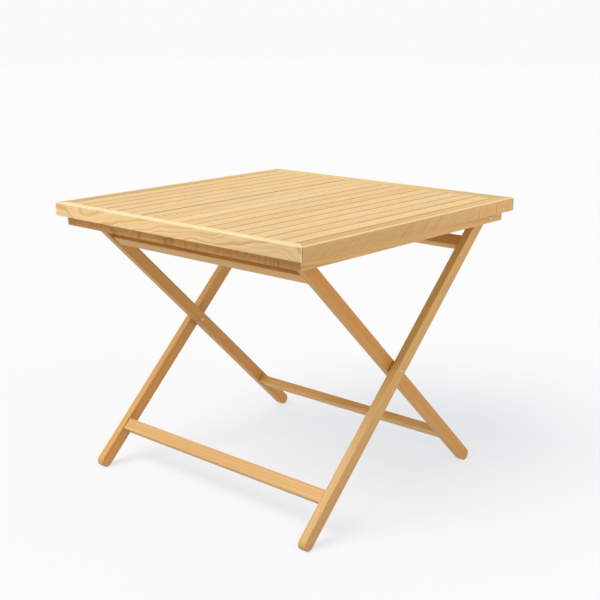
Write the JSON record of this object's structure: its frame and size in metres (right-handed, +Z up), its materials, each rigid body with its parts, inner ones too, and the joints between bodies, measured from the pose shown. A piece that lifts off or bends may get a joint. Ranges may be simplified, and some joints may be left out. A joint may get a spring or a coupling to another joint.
{
  "type": "folding picnic table",
  "caption": "Square slatted wooden picnic table on two crossed leg frames that fold flat under the top.",
  "frame": {"origin": "on the floor, under the middle of the table top", "axes": "+X along the pivot bolts, +Y along the slats towards the hinged edge, +Z up"},
  "size_m": [0.8, 0.8, 0.7],
  "materials": {
    "slat_wood": "oiled pale straight-grained hardwood",
    "frame_wood": "oiled pale hardwood with arched grain",
    "under_wood": "oiled honey-brown hardwood",
    "leg_wood": "oiled honey-brown hardwood, eased edges",
    "rail_wood": "oiled honey-brown hardwood, eased edges",
    "bolt_steel": "satin",
    "screw_steel": "satin"
  },
  "bodies": {
    "top": {"slat_01": "slat_wood", "slat_02": "slat_wood", "slat_03": "slat_wood", "slat_04": "slat_wood", "slat_05": "slat_wood", "slat_06": "slat_wood", "slat_07": "slat_wood", "slat_08": "slat_wood", "slat_09": "slat_wood", "slat_10": "slat_wood", "slat_11": "slat_wood", "slat_12": "slat_wood", "slat_13": "slat_wood", "slat_14": "slat_wood", "slat_15": "slat_wood", "slat_16": "slat_wood", "slat_17": "slat_wood", "end_board_front": "frame_wood", "end_board_back": "frame_wood", "side_board_left": "frame_wood", "side_board_right": "frame_wood", "cross_batten_front": "under_wood", "cross_batten_middle": "under_wood", "cross_batten_back": "under_wood", "under_strip_front": "under_wood", "under_strip_back": "under_wood", "side_rail_left": "under_wood", "side_rail_right": "under_wood", "leg_rest_batten": "under_wood", "hinge_bolt_left": "bolt_steel", "hinge_bolt_right": "bolt_steel", "hinge_nut_left": "bolt_steel", "hinge_nut_right": "bolt_steel", "hinge_washer_left": "bolt_steel", "hinge_washer_right": "bolt_steel", "corner_biscuits": "under_wood", "slat_screws": "screw_steel", "frame_screws": "screw_steel", "rest_screws": "screw_steel"},
    "outer_legs": {"outer_leg_left": "leg_wood", "outer_leg_right": "leg_wood", "outer_lower_rail": "rail_wood", "outer_upper_rail": "rail_wood", "pivot_bolt_left": "bolt_steel", "pivot_bolt_right": "bolt_steel", "pivot_nut_left": "bolt_steel", "pivot_nut_right": "bolt_steel", "pivot_spacer_left": "bolt_steel", "pivot_spacer_right": "bolt_steel"},
    "inner_legs": {"inner_leg_left": "leg_wood", "inner_leg_right": "leg_wood", "inner_lower_rail": "rail_wood", "inner_upper_rail": "rail_wood"}
  },
  "joints": [
    {"name": "leg_fold", "type": "hinge", "parent": "top", "child": "outer_legs", "pos_m": [0, 0.328, 0.656], "axis": [-1, 0, 0], "range_deg": [0, 38.8]},
    {"name": "leg_scissor", "type": "hinge", "parent": "outer_legs", "child": "inner_legs", "pos_m": [0, 0, 0.33575], "axis": [1, 0, 0], "range_deg": [0, 83.1]}
  ],
  "couplings": [
    {"joint": "leg_scissor", "follows": "leg_fold", "ratio": 2.14}
  ]
}
